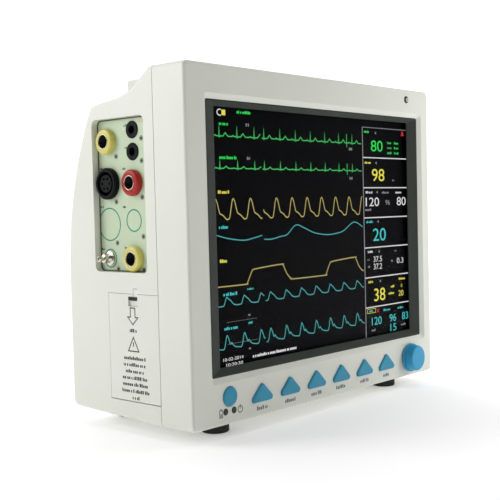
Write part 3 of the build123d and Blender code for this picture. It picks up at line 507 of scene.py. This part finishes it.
def rounded(shape, steps=4):
    """Rounded version of one beat, closed on itself."""
    before, after = shape[-2:], shape[:2]
    full = [(x - BEAT, h) for x, h in before] + list(shape) + [(x + BEAT, h) for x, h in after]
    curve = smooth(full, steps)
    return [(x, h) for x, h in curve if shape[0][0] <= x < shape[0][0] + BEAT]


FIRST_BEAT = 43.3
SECOND_SWEEP_BEAT = 92.6
TRACE_END = COLUMN_X - 2.0
SWEEPS = ((FIRST_BEAT, SCREEN_LEFT, SWEEP - 1.6), (SECOND_SWEEP_BEAT, SWEEP, TRACE_END))


def heart_shape(spike, t_wave):
    return [
        (-5.4, 0), (-4.2, t_wave * 0.3), (-3.0, 0), (-0.9, 0), (-0.5, -spike * 0.06), (0.0, spike),
        (0.5, -spike * 0.10), (0.9, 0), (4.0, 0), (5.4, t_wave * 0.55), (6.6, t_wave),
        (7.8, t_wave * 0.5), (9.2, 0.0),
    ]


def draw_traces():
    pleth = rounded([(-6.4, -15.2), (-4.2, -13.6), (-1.5, -2.5), (0, 0), (1.8, -2.8), (4.2, -10.2),
                     (6.4, -11.5), (8.6, -12.8), (11.2, -15.0)])
    low_pressure = rounded([(-4.6, -6.2), (-3.2, -5.6), (-1.0, -0.8), (0, 0), (2.2, -1.6), (4.2, -2.8),
                            (7.0, -5.4), (10.4, -6.3)])
    high_pressure = rounded([(-4.4, -9.9), (-2.9, -8.2), (-1.0, -1.2), (0, 0), (1.6, -3.0), (3.2, -6.7),
                             (4.6, -5.6), (6.2, -7.6), (9.0, -9.2), (12.0, -9.6)])
    for first, start, end in SWEEPS:
        wave(screen["trace_green"], first, start, end, heart_shape(7.6, 2.6), 209.4)
        wave(screen["trace_green"], first, start, end, heart_shape(6.0, 1.6), 185.9)
        wave(screen["trace_yellow"], first - 5.8 + BEAT, start, end, pleth, 163.6)
        wave(screen["trace_teal"], first + 3.8, start, end, low_pressure, 91.1)
        wave(screen["trace_teal"], first + 3.2, start, end, high_pressure, 62.9)
    for z, drop in ((216.9, 10.9), (191.9, 9.4)):
        screen["trace_green"].ribbon([(199.4, z), (199.4, z - drop)], LINE)
    breathing = [(SCREEN_LEFT, 137.2), (50, 134.4), (67, 132.4), (78, 133.6), (88, 135.3)]
    screen["trace_teal"].ribbon(smooth(breathing), LINE)
    breathing = [(SWEEP, 132.2), (99, 131.9), (110, 133.6), (118, 134.8), (129, 141.9), (140, 139.1),
                 (153, 134.8), (170, 132.7), (183, 133.4), (193, 135.3), (207.5, 142),
                 (TRACE_END, 137.5)]
    screen["trace_teal"].ribbon(smooth(breathing), LINE)
    breath = [(0, 0), (2.4, 1.0), (7.6, 9.2), (12, 10.9), (42, 12.6), (44.6, 11.4), (49, 4.6),
              (54, 0.6), (57, 0)]
    curve = [(SCREEN_LEFT, 99.3)]
    for start in (67.6, 164.8):
        curve += [(start + u, 99.2 + v) for u, v in breath]
    curve = smooth([p for p in curve if p[0] < TRACE_END] + [(TRACE_END, 99.4)], 5)
    screen["trace_yellow"].ribbon(curve, LINE)


def draw_labels():
    labels = [
        ("green", 62.5, 78.6, 227.8, 2.2), ("green", 43.4, 53.6, 218.5, 2.4),
        ("green", 43.0, 61.2, 193.9, 2.4), ("yellow", 40.5, 52.2, 168.6, 2.4),
        ("teal", 40.6, 50.1, 142.9, 2.4), ("yellow", 40.7, 48.1, 118.1, 2.4),
        ("teal", 43.5, 58.6, 93.4, 2.4), ("teal", 69.7, 77.1, 95.6, 1.8),
        ("teal", 43.6, 58.7, 68.2, 2.4), ("teal", 70.0, 74.4, 69.9, 1.8),
        ("white", 74.0, 126.1, 44.1, 2.4), ("grey", 72.4, 75.8, 218.7, 2.2),
        ("grey", 72.8, 76.2, 193.8, 2.2), ("grey", 202.4, 207.0, 204.4, 2.2),
        ("grey", 202.6, 207.2, 179.6, 2.2), ("grey", 70.0, 72.4, 76.1, 1.8),
        ("grey", 69.8, 72.0, 50.6, 1.8),
    ]
    for number, (colour, u0, u1, v, height) in enumerate(labels):
        screen[colour].greek(u0, u1, v, height, number)
    screen["white"].digits("10-02-2014", 41.6, 63.4, 44.0, 46.4)
    screen["white"].digits("10:20:30", 44.7, 62.7, 39.8, 42.2)
    for z in (72.6, 56.4):
        screen["grey"].ribbon([(46.5, z), (80, z)], 0.2)
    # A crescent and a small square in the upper left corner.
    arc = [(44.6 + 3.0 * math.cos(math.radians(a)), 226.6 + 2.2 * math.sin(math.radians(a)))
           for a in range(70, 291, 20)]
    screen["white"].ribbon(arc, 0.8)
    screen["yellow"].rectangle(46.4, 224.6, 50.4, 228.6)


def row(number):
    """Height of the top line of a box in the right-hand column."""
    return ROW_TOP - number * ROW_PITCH


def draw_column():
    grey = screen["grey"]
    grey.ribbon([(COLUMN_X, ROW_TOP), (COLUMN_X, 38.5)], 1.0)
    grey.ribbon([(COLUMN_X, ROW_TOP), (SCREEN_RIGHT, ROW_TOP)], 0.6)
    for number in range(1, 7):
        screen["white"].ribbon([(COLUMN_X, row(number)), (SCREEN_RIGHT, row(number))], 0.9)
    numbers = [
        ("green", "80", 235.2, 253.2, 203.4, 213.0), ("yellow", "98", 236.0, 255.2, 177.2, 188.0),
        ("white", "120", 225.7, 246.2, 155.1, 162.8), ("grey", "96", 256.3, 263.2, 156.0, 160.5),
        ("white", "80", 274.6, 289.2, 155.3, 162.9), ("teal", "20", 236.0, 255.8, 124.3, 135.4),
        ("white", "37.5", 236.0, 249.0, 105.8, 110.8), ("white", "37.2", 236.0, 249.0, 99.2, 104.3),
        ("white", "0.3", 273.0, 283.6, 102.6, 107.5), ("yellow", "38", 236.0, 253.2, 70.9, 82.2),
        ("yellow", "20", 274.8, 282.8, 72.4, 77.6), ("teal", "120", 231.6, 246.8, 50.0, 57.0),
        ("teal", "96", 259.6, 270.0, 50.2, 57.0), ("teal", "83", 280.0, 290.0, 50.3, 57.0),
        ("teal", "15", 260.6, 270.2, 41.6, 48.2), ("yellow", "0", 279.0, 281.0, 80.2, 83.4),
    ]
    for colour, text, u0, u1, v0, v1 in numbers:
        screen[colour].digits(text, u0, u1, v0, v1)
    labels = [
        ("green", 225.0, 232.8, 220.2), ("yellow", 225.2, 235.4, 193.4),
        ("white", 226.0, 236.0, 167.4), ("grey", 251.0, 261.8, 167.2),
        ("white", 272.6, 282.0, 167.2), ("grey", 224.6, 234.8, 152.2),
        ("teal", 226.0, 236.2, 141.5), ("white", 227.6, 235.2, 115.2),
        ("grey", 269.6, 272.4, 114.4), ("grey", 227.0, 229.6, 108.4),
        ("grey", 227.4, 230.0, 102.2), ("grey", 263.6, 267.4, 105.6),
        ("yellow", 227.6, 234.4, 88.6), ("yellow", 275.6, 286.0, 88.2),
        ("yellow", 262.6, 268.2, 82.2), ("yellow", 258.8, 267.8, 76.2),
        ("teal", 250.2, 260.2, 61.9), ("teal", 273.0, 282.4, 61.8),
        ("grey", 231.2, 238.2, 45.7), ("grey", 278.0, 285.6, 46.0),
        ("grey", 267.8, 270.8, 178.2),
    ]
    for z in (211.6, 207.2, 202.6):
        labels += [("trace_green", 260.6, 267.6, z), ("green", 271.6, 278.4, z)]
    for number, (colour, u0, u1, v) in enumerate(labels):
        screen[colour].greek(u0, u1, v, 2.0, 100 + number)
    # Small loudspeaker-like marks beside the labels, and a red bell.
    speakers = ((242.4, 219.6), (242.6, 193.2), (243.4, 167.4), (244.0, 141.4), (244.8, 114.8),
                (245.8, 88.4))
    for u, v in speakers:
        screen["grey"].polygon([(u - 1, v - 0.6), (u, v - 0.6), (u + 1, v - 1.4), (u + 1, v + 1.4),
                                (u, v + 0.6), (u - 1, v + 0.6)])
    bell = [(282.6, 218.6), (288.4, 218.6), (287.2, 220.0), (286.9, 222.0), (285.5, 223.0),
            (284.1, 222.0), (283.8, 220.0)]
    screen["red"].polygon(bell)
    button = [(225.2, 61.2), (237.6, 61.2), (237.6, 64.8), (225.2, 64.8)]
    screen["yellow"].ribbon(button, 0.4, closed=True)
    screen["teal"].greek(228.0, 233.6, 63.0, 1.8, 301)
    screen["red"].ribbon([(239.4, 60.4), (243.6, 64.2)], 0.6)
    screen["red"].ribbon([(239.4, 64.2), (243.6, 60.4)], 0.6)


draw_traces()
draw_labels()
draw_column()
for name, (colour, strength) in colours.items():
    screen[name].finish(glow(f"lit_{name}", colour, strength), "case", "screen_black")


# --- Printed marks on the casing ---------------------------------------------------
grey_ink = ink("grey_ink", (0.16, 0.17, 0.17))
black_ink = ink("black_ink", (0.03, 0.03, 0.03))
green_ink = ink("green_ink", (0.02, 0.26, 0.17))
pink_ink = ink("pink_ink", (0.66, 0.30, 0.28))
INK = 0.04


def key_box(number):
    low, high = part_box(f"key_{number}")
    return place_x(low.x), place_x(high.x), place_z(low.z), place_z(high.z)


def print_front():
    marks = Marks("front_print", on_front(0.0), INK)
    widths = (12.0, 12.5, 13.5, 14.0, 12.0, 9.5)
    for number, width in enumerate(widths, start=1):
        x0, x1, z0, z1 = key_box(number)
        centre = (x0 + x1) / 2
        marks.greek(centre - width / 2, centre + width / 2, 6.4, 3.0, 500 + number)
    # Battery sign left of the lights and a switch sign right of them.
    marks.ribbon([(26.4, 6.4), (29.2, 6.4), (29.2, 11.6), (26.4, 11.6)], 0.8, closed=True)
    marks.rectangle(27.2, 12.1, 28.4, 13.0)
    marks.rectangle(27.2, 7.0, 28.4, 9.0)
    marks.ring(48.2, 9.4, 2.4, 0.8)
    marks.ribbon([(48.2, 9.6), (48.2, 12.9)], 0.8)
    marks.finish(grey_ink, "case", "casing")
    # Pale grey disc a little right of the alarm lens's centre: partly the lens's own pale centre and
    # partly a painted highlight on it.
    lens_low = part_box("alarm_lens")[0]
    centre_x, _, centre_z = middle("alarm_lens")
    dot = Marks("alarm_lens_tone_and_highlight", on_front(place_d(lens_low.y)), 0.2)
    dot.disc(centre_x + 0.5, centre_z, 1.9, 32)
    dot.finish(materials["grey_silicone"], "case", "grey_silicone")


def print_connector_panel():
    panel_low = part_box("connector_panel")[0]
    plane = on_left(place_x(panel_low.x))
    rings = Marks("panel_rings", plane, INK)
    rings.ring(90.6, 146.6, 12.2, 1.0)
    rings.ring(62.8, 149.3, 8.0, 1.0)
    rings.ring(90.7, 120.9, 6.8, 1.0)
    rings.finish(green_ink, "case", "panel_green")
    dark = Marks("panel_print", plane, INK)
    signs = ((81, 197.4), (52.3, 209.3), (52.5, 192.9), (52.9, 166.3), (82.2, 163.4), (52.9, 137.5),
             (82.3, 132.6), (82.1, 112.9), (53.2, 112.9))
    for d, z in signs:
        dark.disc(d, z, 1.3, 16)
        dark.ring(d, z, 1.8, 0.35, 24)
    names = ((100.0, 216.8), (71.4, 219.6), (71.0, 203.3), (101.0, 188.9), (74.4, 187.9),
             (101.2, 160.1), (75.1, 159.6), (101.2, 127.9), (75.1, 129.1))
    for number, (d, z) in enumerate(names):
        dark.greek(d - 3.6, d, z, 1.7, 600 + number)
    dark.finish(black_ink, "case", "panel_green")
    # Dark olive ribbon round the recess edge: painted shade where the recess wall falls in shadow.
    recess_shade = Marks("panel_recess_shade", plane, 0.5)
    recess_shade.ribbon(rounded_outline(43.9, 101.4, 111.6, 224.9, 4.0), 0.9, closed=True)
    recess_shade.finish(materials["olive_recess_shade"], "case", "black_rubber")
    pink = Marks("panel_pink_sign", plane, INK)
    pink.ribbon([(49.8, 221.4), (54.4, 221.4), (52.1, 224.6)], 0.4, True)
    pink.finish(pink_ink, "case", "panel_green")


def print_battery_door():
    door_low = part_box("battery_door")[0]
    marks = Marks("battery_door_print", on_left(place_x(door_low.x)), INK)
    centre = 60.9
    shaft, head = 2.6, 5.7
    marks.ribbon([
        (centre - shaft, 85.0), (centre + shaft, 85.0), (centre + shaft, 78.2), (centre + head, 78.2),
        (centre, 72.7), (centre - head, 78.2), (centre - shaft, 78.2),
    ], 0.9, closed=True)
    marks.greek(centre - 3.8, centre + 3.8, 68.3, 2.6, 700)
    marks.ribbon([(centre - 5.8, 53.0), (centre + 5.8, 53.0), (centre, 63.4)], 0.9, closed=True)
    marks.rectangle(centre - 0.5, 56.4, centre + 0.5, 59.8)
    widths = (25, 24, 20, 27, 28, 31, 9)
    for number, width in enumerate(widths):
        z = 47.8 - number * 4.9
        marks.greek(centre - 0.3 - width / 2, centre - 0.3 + width / 2, z, 2.6, 710 + number)
    marks.finish(black_ink, "battery_door", "casing")


# --- Small parts that sit on the frame ---------------------------------------------
LATCH_D, LATCH_Z = 60.3, 91.9              # middle of the latch's finger bar
SOCKET_HOLES = (("oxygen_socket", 5.2), ("pressure_socket", 5.0), ("output_socket", 5.2))


def keep(name, bm, material, body):
    bmesh.ops.recalc_face_normals(bm, faces=bm.faces)
    mesh = bpy.data.meshes.new(name)
    bm.to_mesh(mesh)
    bm.free()
    mesh.materials.append(material)
    piece = bpy.data.objects.new(name, mesh)
    bpy.context.scene.collection.objects.link(piece)
    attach(piece, body)
    return piece


def turned(name, profile, d, z, slot, sides=48):
    """Turned piece round an axis across the monitor; profile is closed (x, radius) pairs."""
    bm = bmesh.new()
    rings = []
    for x, r in profile:
        count = sides if r > 0 else 1
        turn = 2 * math.pi / sides
        rings.append([bm.verts.new(at(x, d + r * math.cos(k * turn), z + r * math.sin(k * turn)))
                      for k in range(count)])
    for a, b in zip(rings, rings[1:] + rings[:1]):
        for k in range(sides):
            corners = [a[k % len(a)], a[(k + 1) % len(a)], b[(k + 1) % len(b)], b[k % len(b)]]
            corners = list(dict.fromkeys(corners))
            if len(corners) > 2:
                bm.faces.new(corners)
    for face in bm.faces:
        face.smooth = True
    return keep(name, bm, materials[slot], "case")


def line_socket(node, hole_r):
    """Black cup inside a round socket, and a thin bright metal ring round its mouth as a painted
    highlight on the mouth's edge.
    """
    mouth = place_x(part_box(node)[0].x)
    _, d, z = middle(node)
    outer, inner, deep = hole_r - 0.04, hole_r - 0.5, mouth + 13.4
    rim, base = mouth + 0.5, deep + 0.5
    cup = [(rim, inner), (deep, inner), (deep, 0), (base, 0), (base, outer), (rim, outer)]
    turned(f"{node}_liner", cup, d, z, "black_plastic")
    # The metal ring at the mouth is a painted highlight along the socket mouth's edge.
    turns = [math.radians(a) for a in range(0, 360, 30)]
    tube = [(mouth + 0.35 * math.cos(t), hole_r + 0.15 + 0.28 * math.sin(t)) for t in turns]
    turned(f"{node}_mouth_highlight_ring", tube, d, z, "nozzle_metal")


def add_latch_pad():
    """Black pad on the battery latch's finger bar."""
    face = place_x(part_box("battery_latch")[0].x)
    bm = bmesh.new()
    half_d, half_z, corner = 4.7, 1.35, 0.6
    outline = rounded_outline(LATCH_D - half_d, LATCH_D + half_d, LATCH_Z - half_z, LATCH_Z + half_z,
                              corner, 4)
    shells = []
    for lift, shrink in ((0.0, 1.0), (0.32, 1.0), (0.5, 0.94)):
        ring = [(LATCH_D + (d - LATCH_D) * shrink, LATCH_Z + (z - LATCH_Z) * shrink) for d, z in outline]
        shells.append([bm.verts.new(at(face - lift, d, z)) for d, z in ring])
    for a, b in zip(shells, shells[1:]):
        for k in range(len(outline)):
            m = (k + 1) % len(outline)
            bm.faces.new((a[k], a[m], b[m], b[k]))
    bm.faces.new(shells[0])
    bm.faces.new(shells[-1])
    keep("latch_pad", bm, materials["black_rubber"], "battery_latch")


def add_rating_plate():
    """Blank metal plate on the back, with bars where words would be."""
    x0, x1, z0, z1, corner = 66.0, 136.0, 62.0, 94.0, 2.0
    plate = Marks("rating_plate", on_rear(REAR_D), 0.4)
    plate.polygon(rounded_outline(x0, x1, z0, z1, corner))
    plate.finish(materials["zinc_steel"], "case", "zinc_steel")
    bars = Marks("rating_plate_print", on_rear(REAR_D + 0.4), INK)
    for number in range(5):
        z = z1 - 6.0 - number * 5.2
        bars.greek(x0 + 6.0, x1 - 8.0 - 6.0 * (number % 3), z, 2.0, 800 + number)
    bars.finish(black_ink, "case", "zinc_steel")


for node, hole_r in SOCKET_HOLES:
    line_socket(node, hole_r)
add_latch_pad()
add_rating_plate()

print_front()
print_connector_panel()
print_battery_door()

# --- Stage ----------------------------------------------------------------------
FLOOR_GLOW_NEAR, FLOOR_GLOW_FAR = 0.26, 0.8
FLOOR_GLOW_MIDDLE, FLOOR_GLOW_REACH = 1.0, 0.8     # metres from the origin, below the monitor
FLOOR_SIZE, FLOOR_CURVE = 4.0, 1.2
FLOOR_BACK = FLOOR_SIZE * 0.35                     # where the floor starts to curve up
CURVE_STEPS = 12
WORLD_STRENGTH = 0.12
RIGHT_TARGET = (0.33, -0.07, 0.13)


def add_floor():
    bm = bmesh.new()
    profile = [(-FLOOR_SIZE, 0.0), (FLOOR_BACK, 0.0)]
    for step in range(1, CURVE_STEPS + 1):
        angle = math.radians(step * 90 / CURVE_STEPS)
        along_curve, up_curve = math.sin(angle), 1 - math.cos(angle)
        profile.append((FLOOR_BACK + FLOOR_CURVE * along_curve, FLOOR_CURVE * up_curve))
    profile.append((FLOOR_BACK + FLOOR_CURVE, FLOOR_SIZE))
    along = Vector((math.sin(math.radians(-CAMERA_YAW)), math.cos(math.radians(-CAMERA_YAW)), 0))
    sideways = Vector((along.y, -along.x, 0))
    rows = []
    for reach, height in profile:
        centre = along * reach + Vector((0, 0, height))
        rows.append([bm.verts.new(centre + sideways * side) for side in (-FLOOR_SIZE, FLOOR_SIZE)])
    for a, b in zip(rows, rows[1:]):
        bm.faces.new((a[0], a[1], b[1], b[0]))
    mesh = bpy.data.meshes.new("floor")
    bm.to_mesh(mesh)
    bm.free()
    mesh.shade_smooth()
    floor = bpy.data.objects.new("floor", mesh)
    bpy.context.scene.collection.objects.link(floor)
    paint = moulded("floor_paint", (0.88, 0.88, 0.88), rough=0.8, vary=0.01, depth=0.0, shine=0.2)
    tree = paint.node_tree
    shader = tree.nodes["Principled BSDF"]
    coords = tree.nodes.new("ShaderNodeTexCoord")
    reach = tree.nodes.new("ShaderNodeVectorMath")
    reach.operation = "LENGTH"
    tree.links.new(coords.outputs["Object"], reach.inputs[0])
    # The sweep is lit from within away from the monitor, so it stays white to the horizon.
    lit = spread(tree, reach.outputs["Value"], FLOOR_GLOW_NEAR, FLOOR_GLOW_FAR, FLOOR_GLOW_MIDDLE,
                 FLOOR_GLOW_REACH)
    shader.inputs["Emission Color"].default_value = (1, 1, 1, 1)
    tree.links.new(lit, shader.inputs["Emission Strength"])
    floor.data.materials.append(paint)


add_floor()
add_camera()
add_world(WORLD_STRENGTH)
bpy.context.scene.view_settings.view_transform = "Standard"
centre = (cad_box[0] + cad_box[1]) / 2
add_area_light("left_softbox", (-1.1, 1.0, 0.8), centre, (0.9, 0.9), 13)
add_area_light("right_softbox", (0.48, -0.42, 0.33), RIGHT_TARGET, (0.3, 0.3), 0.8, 110, False)
add_area_light("top_softbox", (0.0, 0.1, 1.6), centre, (1.4, 1.4), 14)
